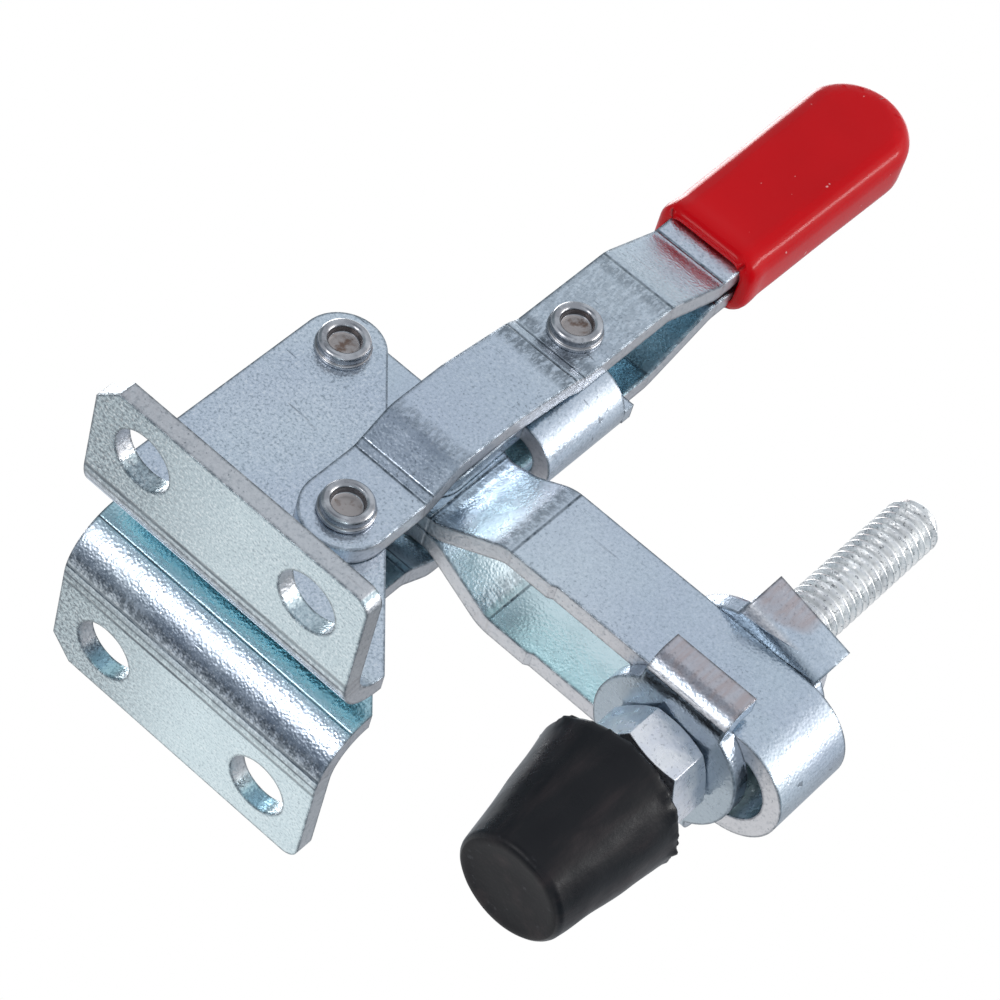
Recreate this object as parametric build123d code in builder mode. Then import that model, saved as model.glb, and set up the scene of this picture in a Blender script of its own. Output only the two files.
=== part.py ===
from build123d import *
from math import acos, atan2, cos, degrees, hypot, pi, radians, sin, sqrt
import os

# Vertical-handle toggle clamp for an M6 spindle, in its clamped position.
# Origin at the middle of the mounting face, +X towards the spindle, +Z away
# from the mounting face. Millimetres and degrees. The right side is -Y. Sketches
# on Plane.XZ are side views, with local axes X and Z.

# Sheet and running fits
sheet = 2.0  # thickness of every pressed plate and strip
layer_gap = 0.1  # between neighbouring layers of the linkage
pivot_clearance = 0.05  # radial, where a piece turns on a rivet or a bush
seat_clearance = 0.02  # radial, where a fixed piece sits on another

# Base
base_length = 32.0
base_width = 41.2
base_hole_pitch_x = 19.8
base_hole_pitch_y = 29.5
base_hole_diameter = 6.6
base_bend_radius = 4.2  # inside
base_corner_cut = 2.4
base_front_corner_radius = 1.7
base_front_height = 6.2  # where the sloping edge meets the front edge
base_pivot_land = 4.3  # edge radius of the base plate round the arm pivot

# Pivot places, seen from the side
toggle_line_x = 2.2  # the three pivots of the toggle are in line here
handle_pivot_height = 15.6
arm_pivot_height = 30.8
link_foot_drop = 2.5  # below the arm pivot
link_head_height = 48.2
handle_opening = 60.0  # degrees

# Rivets and bushes
rivet_diameter = 3.8
rivet_head_diameter = 5.6
rivet_head_height = 1.5
rivet_recess_diameter = 2.9
rivet_recess_depth = 2.6
rivet_dome_edge_height = 0.5  # upright edge under the dome
rivet_dome_flat_diameter = 3.0
rivet_dome_bulge = 0.36
spacer_diameter = 6.0
bearing_wall = 0.8  # wall of the bush that the arm turns on

# Arm: one strip folded into a U round the spindle
arm_half_width = 6.4  # outside, along the slot
arm_bottom = 23.95
arm_top = 33.7
arm_heel_radius = 4.4  # round end at the arm pivot
arm_heel_bottom = 23.65
arm_heel_step_x = 20.2
arm_heel_step_length = 0.5
arm_shoulder_x = 5.0  # where the top edge starts down to the slot
arm_shoulder_length = 5.5
arm_flare_start = 7.4
arm_flare_length = 7.4
arm_flare_radius = 3.4
arm_tip_x = 49.0

# Link: one strip folded round a half-round web
link_foot_radius = 3.8
link_head_radius = 3.3
link_rear_wall = 0.9  # left behind the slot
link_web_bottom = 37.2
link_web_top = 48.6
link_web_front = 9.9
link_tongue_width = 1.9
link_tongue_length = 1.3
slot_clearance = 0.15  # radial, round the head rivet
slot_steps = 8

# Handle: two pressed strips in a dipped grip
handle_width = 9.0
handle_foot_radius = 4.5
handle_top = 96.8
handle_top_radius = 3.2
bulge_inner = 6.8  # half the inside width where the strips stand out
bulge_start = 21.8
bulge_rise = 4.4  # height in which the strips move out
bulge_shoulder = 33.0
bulge_neck = 42.8
bulge_neck_inner = 5.2
bulge_step = 1.8  # height of the last short run inwards
taper_start = 58.0
taper_length = 8.9
tang_inner = 0.6
strip_bend_radius = 2.6

# Grip
grip_bottom = 68.8
grip_top = 101.4
grip_wall = 1.25  # over the edges of the strips
grip_flare = 0.7  # extra half width at the top
grip_half_thickness = 3.95
grip_edge_radius = 2.2
grip_lip_height = 2.2
grip_lip_bulge = 0.35

# Spindle set
spindle_x = 36.9
spindle_diameter = 5.9
spindle_top = 61.5
spindle_end_chamfer = 0.7
head_across_flats = 10.0
head_height = 4.0
head_bottom = 4.6
nut_across_flats = 10.0
nut_height = 5.0
nut_corner_chamfer = 0.5
lower_nut_turn = 12.0  # degrees
upper_nut_turn = 20.0
washer_sheet = 1.9
washer_diameter = 16.2
washer_hole_diameter = 6.5
washer_tab_width = 9.3
washer_tab_height = 4.4  # over the plate's far face
washer_tab_gap = 0.1  # between the arm's side and the start of a tab's bend
washer_bend_radius = 0.9  # inside
upper_washer_turn = 15.0  # degrees

# Rubber tip
tip_bottom = 0.4
tip_top = 15.4
tip_bottom_diameter = 11.8
tip_top_diameter = 15.9
tip_bottom_round = 0.8
tip_top_round = 0.8

# Layers across the linkage, as half widths
leg_inner = layer_gap
leg_outer = leg_inner + sheet
plate_inner = leg_outer + layer_gap
plate_outer = plate_inner + sheet
handle_inner = plate_outer + layer_gap
handle_outer = handle_inner + sheet

link_foot_height = arm_pivot_height - link_foot_drop
bulge_foot = bulge_start + bulge_rise
bulge_end = bulge_neck + bulge_step
taper_end = taper_start + taper_length

rivet_radius = rivet_diameter / 2
bearing_radius = rivet_radius + bearing_wall
arm_pivot_x = base_pivot_land - base_length / 2
handle_pivot = (toggle_line_x, handle_pivot_height)
arm_pivot = (arm_pivot_x, arm_pivot_height)
link_foot = (toggle_line_x, link_foot_height)
link_head = (toggle_line_x, link_head_height)

os.makedirs("parts", exist_ok=True)


def finish(builder, label):
    builder.part.label = label
    export_step(builder.part, f"parts/{label}.step")


def turned(point, centre, angle):
    # point turned about centre, +X towards +Z, angle in degrees
    c = cos(radians(angle))
    s = sin(radians(angle))
    dx = point[0] - centre[0]
    dz = point[1] - centre[1]
    return (centre[0] + c * dx - s * dz, centre[1] + s * dx + c * dz)


# Linkage: the arm's lift and the link's turn at the full handle opening
def open_angles():
    head = turned(link_head, handle_pivot, handle_opening)
    reach = hypot(link_foot[0] - arm_pivot[0], link_foot[1] - arm_pivot[1])
    length = hypot(link_head[0] - link_foot[0], link_head[1] - link_foot[1])
    span = hypot(head[0] - arm_pivot[0], head[1] - arm_pivot[1])
    corner = acos((reach**2 + span**2 - length**2) / (2 * reach * span))
    start = atan2(link_foot[1] - arm_pivot[1], link_foot[0] - arm_pivot[0])
    end = atan2(head[1] - arm_pivot[1], head[0] - arm_pivot[0]) - corner
    lift = degrees((end - start) % (2 * pi))
    foot = turned(link_foot, arm_pivot, lift)
    link_start = atan2(link_head[1] - link_foot[1], link_head[0] - link_foot[0])
    link_end = atan2(head[1] - foot[1], head[0] - foot[0])
    turn = degrees((link_end - link_start) % (2 * pi)) - lift
    return lift, turn


arm_lift, link_turn = open_angles()


def head_rivet_path():
    # places of the handle's rivet seen from the link, which turns on the arm
    # in proportion to the handle
    places = []
    for step in range(slot_steps + 1):
        share = step / slot_steps
        rivet = turned(link_head, handle_pivot, share * handle_opening)
        on_arm = turned(rivet, arm_pivot, -share * arm_lift)
        places.append(turned(on_arm, link_foot, -share * link_turn))
    return places


# Base plates
def base_plate(side, label):
    flange_end = base_width / 2
    bend_middle = base_bend_radius + sheet / 2
    with BuildPart() as plate:
        with BuildSketch(Plane.YZ.offset(-base_length / 2)):
            with BuildLine():
                FilletPolyline(
                    (side * flange_end, sheet / 2),
                    (side * (plate_inner + sheet / 2), sheet / 2),
                    (side * (plate_inner + sheet / 2), arm_pivot_height + base_pivot_land),
                    radius=bend_middle,
                )
            trace(line_width=sheet)
        extrude(amount=base_length)
        with BuildSketch(Plane.XZ):
            with Locations(arm_pivot):
                Circle(base_pivot_land)
            with Locations((0, base_front_height / 2)):
                Rectangle(base_length, base_front_height)
            make_hull(mode=Mode.REPLACE)
        extrude(amount=flange_end, both=True, mode=Mode.INTERSECT)
        with BuildSketch(Plane.XZ):
            with Locations(handle_pivot, arm_pivot):
                Circle(rivet_radius + seat_clearance)
        extrude(amount=flange_end, both=True, mode=Mode.SUBTRACT)
        with BuildSketch(Plane.XY):
            with Locations((0, side * base_hole_pitch_y / 2)):
                with GridLocations(base_hole_pitch_x, base_hole_pitch_y, 2, 1):
                    Circle(base_hole_diameter / 2)
        extrude(amount=sheet, mode=Mode.SUBTRACT)
        upright = plate.edges().filter_by(Axis.Z).group_by(Axis.Y)
        corners = upright[-1] if side > 0 else upright[0]
        rear = corners.sort_by(Axis.X)[0]
        front = corners.sort_by(Axis.X)[-1]
        chamfer(rear, base_corner_cut)
        fillet(front, base_front_corner_radius)
    finish(plate, label)


base_plate(1, "base_plate_left")
base_plate(-1, "base_plate_right")


# Semi-tubular rivets: a rolled rim round a recess on the right, a low dome on the left
def rivet(pivot, half_grip, label):
    radius = rivet_radius
    head = rivet_head_diameter / 2
    recess = rivet_recess_diameter / 2
    rim_middle = (head + recess) / 2
    rim_round = (head - recess) / 2
    rim_foot = -half_grip
    rim_crown = -half_grip - rivet_head_height
    dome_edge = half_grip + rivet_dome_edge_height
    dome_top = half_grip + rivet_head_height
    dome_flat = rivet_dome_flat_diameter / 2
    with BuildPart() as body:
        with BuildSketch(Plane((pivot[0], 0, pivot[1]), x_dir=(1, 0, 0), z_dir=(0, 0, 1))):
            with BuildLine():
                Line((0, rim_crown + rivet_recess_depth), (recess, rim_crown + rivet_recess_depth))
                Line((recess, rim_crown + rivet_recess_depth), (recess, rim_crown + rim_round))
                ThreePointArc(
                    (recess, rim_crown + rim_round),
                    (rim_middle, rim_crown),
                    (head, rim_crown + rim_round),
                )
                Line((head, rim_crown + rim_round), (head, rim_foot))
                Line((head, rim_foot), (radius, rim_foot))
                Line((radius, rim_foot), (radius, half_grip))
                Line((radius, half_grip), (head, half_grip))
                Line((head, half_grip), (head, dome_edge))
                SagittaArc((head, dome_edge), (dome_flat, dome_top), -rivet_dome_bulge)
                Line((dome_flat, dome_top), (0, dome_top))
                Line((0, dome_top), (0, rim_crown + rivet_recess_depth))
            make_face()
        revolve(axis=Axis((pivot[0], 0, pivot[1]), (0, 1, 0)))
    finish(body, label)


def bush(pivot, outer_radius, half_length, label):
    with BuildPart() as ring:
        with BuildSketch(Plane.XZ):
            with Locations(pivot):
                Circle(outer_radius)
                Circle(rivet_radius + seat_clearance, mode=Mode.SUBTRACT)
        extrude(amount=half_length, both=True)
    finish(ring, label)


rivet(handle_pivot, handle_outer + layer_gap, "handle_pivot_rivet")
rivet(arm_pivot, plate_outer, "arm_pivot_rivet")
rivet(link_foot, plate_outer, "link_foot_rivet")
rivet(link_head, handle_outer, "link_head_rivet")
bush(handle_pivot, spacer_diameter / 2, plate_inner, "handle_pivot_bush")
bush(arm_pivot, bearing_radius, plate_inner, "arm_pivot_bush")
bush(link_head, spacer_diameter / 2, plate_inner - layer_gap, "link_head_bush")


# Arm
leg_middle = (leg_inner + leg_outer) / 2
slot_middle = arm_half_width - sheet / 2
nose_x = arm_tip_x - arm_half_width
heel_end_x = arm_pivot_x - arm_heel_radius

with BuildPart() as arm:
    with BuildSketch(Plane.XY.offset(arm_heel_bottom - arm_heel_radius)):
        with BuildLine():
            FilletPolyline(
                (heel_end_x, leg_middle),
                (arm_flare_start, leg_middle),
                (arm_flare_start + arm_flare_length, slot_middle),
                (nose_x, slot_middle),
                radius=arm_flare_radius,
            )
            ThreePointArc((nose_x, slot_middle), (nose_x + slot_middle, 0), (nose_x, -slot_middle))
            FilletPolyline(
                (heel_end_x, -leg_middle),
                (arm_flare_start, -leg_middle),
                (arm_flare_start + arm_flare_length, -slot_middle),
                (nose_x, -slot_middle),
                radius=arm_flare_radius,
            )
        trace(line_width=sheet)
    extrude(amount=arm_top - arm_heel_bottom + 2 * arm_heel_radius)
    with BuildSketch(Plane.XZ):
        with Locations(arm_pivot):
            Circle(arm_heel_radius)
        heel_top = arm_pivot_height + arm_heel_radius
        with BuildLine():
            Polyline(
                (arm_pivot_x, heel_top),
                (arm_shoulder_x, heel_top),
                (arm_shoulder_x + arm_shoulder_length, arm_top),
                (arm_tip_x, arm_top),
                (arm_tip_x, arm_bottom),
                (arm_heel_step_x + arm_heel_step_length, arm_bottom),
                (arm_heel_step_x, arm_heel_bottom),
                (toggle_line_x - link_foot_radius, arm_heel_bottom),
                (arm_pivot_x, arm_pivot_height - arm_heel_radius),
                close=True,
            )
        make_face()
    extrude(amount=arm_half_width + sheet, both=True, mode=Mode.INTERSECT)
    with BuildSketch(Plane.XZ):
        with Locations(arm_pivot):
            Circle(bearing_radius + pivot_clearance)
        with Locations(link_foot):
            Circle(rivet_radius + pivot_clearance)
    extrude(amount=arm_half_width, both=True, mode=Mode.SUBTRACT)
finish(arm, "arm")


# Link
web_middle = (plate_inner + plate_outer) / 2
web_x = link_web_front - plate_outer
slot_radius = rivet_radius + slot_clearance
slot_path = head_rivet_path()
slot_rear = min(place[0] for place in slot_path) - slot_radius
side_rear = slot_rear - link_rear_wall
side_rear_bottom = min(place[1] for place in slot_path)

with BuildPart() as link:
    with BuildSketch(Plane.XY.offset(link_foot_height - link_foot_radius)):
        with BuildLine():
            Line((side_rear, web_middle), (web_x, web_middle))
            ThreePointArc((web_x, web_middle), (web_x + web_middle, 0), (web_x, -web_middle))
            Line((web_x, -web_middle), (side_rear, -web_middle))
        trace(line_width=sheet)
    extrude(amount=link_head_height - link_foot_height + link_foot_radius + link_head_radius)
    with BuildSketch(Plane.XZ):
        with Locations(link_foot):
            Circle(link_foot_radius)
        with Locations(link_head):
            Circle(link_head_radius)
        with Locations((side_rear + link_head_radius, side_rear_bottom + link_head_radius / 2)):
            Circle(link_head_radius)
        make_hull(mode=Mode.REPLACE)
        web_height = link_web_top - link_web_bottom
        with Locations(((toggle_line_x + link_web_front) / 2, link_web_bottom + web_height / 2)):
            Rectangle(link_web_front - toggle_line_x, web_height)
    extrude(amount=plate_outer, both=True, mode=Mode.INTERSECT)
    with BuildSketch(Plane.XY.offset(link_web_top)):
        with Locations((link_web_front - sheet / 2, 0)):
            Rectangle(sheet, link_tongue_width)
    extrude(amount=link_tongue_length)
    with BuildSketch(Plane.XZ):
        with Locations(link_foot):
            Circle(rivet_radius + seat_clearance)
    extrude(amount=plate_outer, both=True, mode=Mode.SUBTRACT)
    with BuildSketch(Plane.XZ):
        with Locations(*slot_path):
            Circle(slot_radius)
        make_hull(mode=Mode.REPLACE)
    extrude(amount=plate_outer, both=True, mode=Mode.SUBTRACT)
finish(link, "link")


# Handle plates
handle_left_edge = toggle_line_x - handle_width / 2


def handle_plate(side, label):
    half = sheet / 2
    with BuildPart() as plate:
        with BuildSketch(Plane.YZ.offset(handle_left_edge)):
            with BuildLine():
                FilletPolyline(
                    (side * (handle_inner + half), handle_pivot_height - handle_foot_radius),
                    (side * (handle_inner + half), bulge_start),
                    (side * (bulge_inner + half), bulge_foot),
                    (side * (bulge_inner + half), bulge_shoulder),
                    (side * (bulge_neck_inner + half), bulge_neck),
                    (side * (handle_inner + half), bulge_end),
                    (side * (handle_inner + half), taper_start),
                    (side * (tang_inner + half), taper_end),
                    (side * (tang_inner + half), handle_top),
                    radius=strip_bend_radius,
                )
            trace(line_width=sheet)
        extrude(amount=handle_width)
        with BuildSketch(Plane.XZ):
            with Locations(handle_pivot):
                Circle(handle_foot_radius)
            strip_height = handle_top - handle_pivot_height
            with Locations((toggle_line_x, handle_pivot_height + strip_height / 2)):
                Rectangle(handle_width, strip_height)
            fillet(vertices().group_by(Axis.Y)[-1], handle_top_radius)
        extrude(amount=bulge_inner + 2 * sheet, both=True, mode=Mode.INTERSECT)
        with BuildSketch(Plane.XZ):
            with Locations(handle_pivot):
                Circle(rivet_radius + pivot_clearance)
            with Locations(link_head):
                Circle(rivet_radius + seat_clearance)
        extrude(amount=bulge_inner + 2 * sheet, both=True, mode=Mode.SUBTRACT)
    finish(plate, label)
    return plate.part


left_strip = handle_plate(1, "handle_plate_left")
right_strip = handle_plate(-1, "handle_plate_right")

# Grip
grip_half_width = handle_width / 2 + grip_wall
dome_radius = grip_half_width + grip_flare

with BuildPart() as grip:
    with BuildSketch(Plane.XZ):
        with Locations((toggle_line_x, grip_bottom + grip_edge_radius / 2)):
            Rectangle(2 * grip_half_width, grip_edge_radius)
        with Locations((toggle_line_x, grip_top - dome_radius)):
            Circle(dome_radius)
        make_hull(mode=Mode.REPLACE)
    extrude(amount=grip_half_thickness, both=True)
    broad_faces = grip.faces().filter_by(Axis.Y)
    rims = broad_faces.edges().filter_by(lambda e: e.center().Z > grip_bottom + grip_edge_radius / 4)
    fillet(rims, grip_edge_radius)
    with BuildSketch(Plane.XY.offset(grip_bottom)):
        with Locations((toggle_line_x, 0)):
            lip_length = 2 * (grip_half_width + grip_lip_bulge)
            lip_width = 2 * (grip_half_thickness + grip_lip_bulge)
            RectangleRounded(lip_length, lip_width, grip_edge_radius)
    extrude(amount=grip_lip_height)
    lip_edges = grip.edges().group_by(Axis.Z)[0]
    fillet(lip_edges, grip_lip_bulge)
    add(left_strip, mode=Mode.SUBTRACT)
    add(right_strip, mode=Mode.SUBTRACT)
finish(grip, "grip")


# Flanged washers: the tabs of both point up, and the lower one's straddle the arm
def flanged_washer(bottom, turn, label):
    tab_inner = arm_half_width + washer_tab_gap + washer_bend_radius
    tab_middle = tab_inner + washer_sheet / 2
    plane = Plane((spindle_x, 0, bottom), x_dir=(cos(radians(turn)), sin(radians(turn)), 0), z_dir=(0, 0, 1))
    section = Plane(plane.origin, x_dir=plane.y_dir, z_dir=plane.x_dir)
    with BuildPart() as washer:
        with BuildSketch(section):
            with BuildLine():
                FilletPolyline(
                    (-tab_middle, washer_tab_height),
                    (-tab_middle, washer_sheet / 2),
                    (tab_middle, washer_sheet / 2),
                    (tab_middle, washer_tab_height),
                    radius=washer_bend_radius + washer_sheet / 2,
                )
            trace(line_width=washer_sheet)
        extrude(amount=washer_tab_width / 2, both=True)
        with BuildSketch(plane):
            Circle(washer_diameter / 2)
            straight = 2 * (tab_inner - washer_bend_radius)
            Rectangle(washer_diameter, straight, mode=Mode.INTERSECT)
        extrude(amount=washer_sheet)
        with BuildSketch(plane):
            Circle(washer_hole_diameter / 2)
        extrude(amount=washer_sheet, mode=Mode.SUBTRACT)
    finish(washer, label)


lower_washer_bottom = arm_bottom - washer_sheet
flanged_washer(lower_washer_bottom, 0, "lower_flanged_washer")
flanged_washer(arm_top, upper_washer_turn, "upper_flanged_washer")


# Hexagon nuts
def hex_nut(bottom, turn, label):
    corner = nut_across_flats / sqrt(3)
    flat = nut_across_flats / 2
    with BuildPart() as nut:
        with BuildSketch(Plane.XY.offset(bottom)):
            with Locations((spindle_x, 0)):
                RegularPolygon(flat, 6, major_radius=False, rotation=turn)
        extrude(amount=nut_height)
        with BuildSketch(Plane.XZ):
            with BuildLine():
                Polyline(
                    (spindle_x, bottom),
                    (spindle_x + flat - nut_corner_chamfer / 2, bottom),
                    (spindle_x + corner, bottom + nut_corner_chamfer),
                    (spindle_x + corner, bottom + nut_height - nut_corner_chamfer),
                    (spindle_x + flat - nut_corner_chamfer / 2, bottom + nut_height),
                    (spindle_x, bottom + nut_height),
                    close=True,
                )
            make_face()
        revolve(axis=Axis((spindle_x, 0, 0), (0, 0, 1)), mode=Mode.INTERSECT)
        with BuildSketch(Plane.XY.offset(bottom)):
            with Locations((spindle_x, 0)):
                Circle(spindle_diameter / 2 + pivot_clearance)
        extrude(amount=nut_height, mode=Mode.SUBTRACT)
    finish(nut, label)


hex_nut(lower_washer_bottom - nut_height, lower_nut_turn, "lower_nut")
hex_nut(arm_top + washer_sheet, upper_nut_turn, "upper_nut")

# Spindle bolt, its head buried in the rubber tip
with BuildPart() as spindle_bolt:
    with BuildSketch(Plane.XY.offset(head_bottom)):
        with Locations((spindle_x, 0)):
            RegularPolygon(head_across_flats / 2, 6, major_radius=False)
    extrude(amount=head_height)
    with BuildSketch(Plane.XY.offset(head_bottom)):
        with Locations((spindle_x, 0)):
            Circle(spindle_diameter / 2)
    extrude(amount=spindle_top - head_bottom)
    chamfer(spindle_bolt.edges().group_by(Axis.Z)[-1], spindle_end_chamfer)
finish(spindle_bolt, "spindle_bolt")

# Rubber tip, moulded round the bolt's head
with BuildPart() as rubber_tip:
    with BuildSketch(Plane.XY.offset(tip_bottom)):
        with Locations((spindle_x, 0)):
            Circle(tip_bottom_diameter / 2)
    with BuildSketch(Plane.XY.offset(tip_top)):
        with Locations((spindle_x, 0)):
            Circle(tip_top_diameter / 2)
    loft()
    fillet(rubber_tip.edges().group_by(Axis.Z)[0], tip_bottom_round)
    fillet(rubber_tip.edges().group_by(Axis.Z)[-1], tip_top_round)
    add(spindle_bolt.part, mode=Mode.SUBTRACT)
finish(rubber_tip, "rubber_tip")
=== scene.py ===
from math import atan2, cos, exp, pi, radians, sin

import bmesh
import bpy
from mathutils import Euler, Matrix, Vector, noise


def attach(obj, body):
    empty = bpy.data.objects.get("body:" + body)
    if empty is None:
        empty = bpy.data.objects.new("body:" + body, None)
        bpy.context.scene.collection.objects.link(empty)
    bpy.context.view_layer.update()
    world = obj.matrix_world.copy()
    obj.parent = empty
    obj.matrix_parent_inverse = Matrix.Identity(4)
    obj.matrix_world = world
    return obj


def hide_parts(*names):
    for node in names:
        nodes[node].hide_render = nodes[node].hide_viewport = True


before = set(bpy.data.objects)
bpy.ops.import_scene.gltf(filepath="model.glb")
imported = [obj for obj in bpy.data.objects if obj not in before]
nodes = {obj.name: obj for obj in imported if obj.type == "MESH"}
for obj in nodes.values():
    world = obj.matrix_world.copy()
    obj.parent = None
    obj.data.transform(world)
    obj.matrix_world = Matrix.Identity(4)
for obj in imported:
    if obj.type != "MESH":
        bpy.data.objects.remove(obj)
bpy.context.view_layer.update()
mm = 0.001
print("frame loaded")

# camera and studio

view = dict(place=(106.394, -275.101, -164.079), turn=(136.8081, -40.1602, -14.9015), lens=135.2527)

camera = bpy.data.objects.new("camera", bpy.data.cameras.new("camera"))
bpy.context.scene.collection.objects.link(camera)
camera.data.sensor_width = 36
camera.data.lens = view["lens"]
camera.data.clip_start = 0.01
camera.location = Vector(view["place"]) * mm
camera.rotation_euler = Euler([radians(a) for a in view["turn"]], "XYZ")
bpy.context.scene.camera = camera
bpy.context.scene.view_settings.view_transform = "Standard"


# name, place, what it points at, size in m and power in W
lamps = (
    ("stripLamp", (0.52, -0.18, 0.42), (0.01, 0, 0.05), (0.09, 0.40), 1.25),
    ("frontLamp", (-0.16, -0.37, -0.48), (0.01, 0, 0.04), (0.22, 0.22), 0.55),
    ("topLamp", (-0.20, 0.30, 0.60), (0.01, 0, 0.05), (0.40, 0.40), 0.60),
    ("backLamp", (-0.46, 0.17, 0.42), (0.01, 0, 0.07), (0.26, 0.26), 1.15),
)


def areaLamp(name, place, aim, size, power):
    lamp = bpy.data.lights.new(name, "AREA")
    lamp.shape = "RECTANGLE"
    lamp.size, lamp.size_y = size
    lamp.energy = power
    holder = bpy.data.objects.new(name, lamp)
    bpy.context.scene.collection.objects.link(holder)
    holder.location = place
    holder.rotation_euler = (Vector(aim) - Vector(place)).to_track_quat("-Z", "Y").to_euler()


for lamp in lamps:
    areaLamp(*lamp)

# the world: a pale room with soft cards for the metal to mirror, and a white backdrop.
# A card is its axis, the degrees from it at which it starts and is full, and its colour.
studio = dict(
    room=(0.68, 0.73, 0.785),
    backdrop=((-0.20, 0.85, -0.48), 52, 8),
    cards=(
        ((0.27, 0.77, 0.57), 36, 12, (0.46, 0.48, 0.51)),
        ((-0.27, 0.20, -0.94), 33, 12, (0.13, 0.16, 0.20)),
        ((-0.27, -0.93, -0.20), 26, 8, (0.30, 0.34, 0.39)),
        ((-0.27, -0.57, -0.77), 15, 4, (1.35, 1.35, 1.40)),
        ((0.72, -0.35, 0.60), 34, 14, (1.35, 1.35, 1.35)),
        ((0.95, 0.25, -0.15), 40, 16, (0.20, 0.27, 0.31)),
        ((-0.25, 0.05, 0.97), 38, 14, (0.66, 0.72, 0.76)),
        ((-0.95, -0.25, 0.05), 40, 14, (0.30, 0.36, 0.40)),
    ),
)


def studioWorld():
    world = bpy.data.worlds.new("studio")
    bpy.context.scene.world = world
    world.use_nodes = True
    tree = world.node_tree
    tree.nodes.clear()

    def add(kind, **values):
        node = tree.nodes.new(kind)
        for name, value in values.items():
            setattr(node, name, value)
        return node

    way = add("ShaderNodeTexCoord")

    # how much of a card lies this way
    def card(axis, outer, inner):
        dot = add("ShaderNodeVectorMath", operation="DOT_PRODUCT")
        dot.inputs[1].default_value = Vector(axis).normalized()
        tree.links.new(way.outputs["Generated"], dot.inputs[0])
        share = add("ShaderNodeMapRange", interpolation_type="SMOOTHSTEP")
        share.inputs["From Min"].default_value = cos(radians(outer))
        share.inputs["From Max"].default_value = cos(radians(inner))
        tree.links.new(dot.outputs["Value"], share.inputs["Value"])
        return share.outputs["Result"]

    colour = None
    for axis, outer, inner, tone in studio["cards"]:
        mix = add("ShaderNodeMix", data_type="RGBA")
        tree.links.new(card(axis, outer, inner), mix.inputs[0])
        if colour is None:
            mix.inputs[6].default_value = (*studio["room"], 1)
        else:
            tree.links.new(colour, mix.inputs[6])
        mix.inputs[7].default_value = (*tone, 1)
        colour = mix.outputs[2]
    room = add("ShaderNodeBackground")
    tree.links.new(colour, room.inputs["Color"])
    white = add("ShaderNodeBackground")
    white.inputs["Color"].default_value = (1, 1, 1, 1)

    # plain white to the camera and through glass, and in the metal where the backdrop is
    path = add("ShaderNodeLightPath")
    seen = add("ShaderNodeMath", operation="MULTIPLY")
    tree.links.new(path.outputs["Is Glossy Ray"], seen.inputs[0])
    tree.links.new(card(*studio["backdrop"]), seen.inputs[1])
    for ray in ("Is Camera Ray", "Is Transmission Ray"):
        most = add("ShaderNodeMath", operation="MAXIMUM")
        tree.links.new(seen.outputs[0], most.inputs[0])
        tree.links.new(path.outputs[ray], most.inputs[1])
        seen = most
    mix = add("ShaderNodeMixShader")
    tree.links.new(seen.outputs[0], mix.inputs["Fac"])
    tree.links.new(room.outputs[0], mix.inputs[1])
    tree.links.new(white.outputs[0], mix.inputs[2])
    tree.links.new(mix.outputs[0], add("ShaderNodeOutputWorld").inputs["Surface"])


studioWorld()
print("camera and studio done")


# shader helpers

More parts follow.
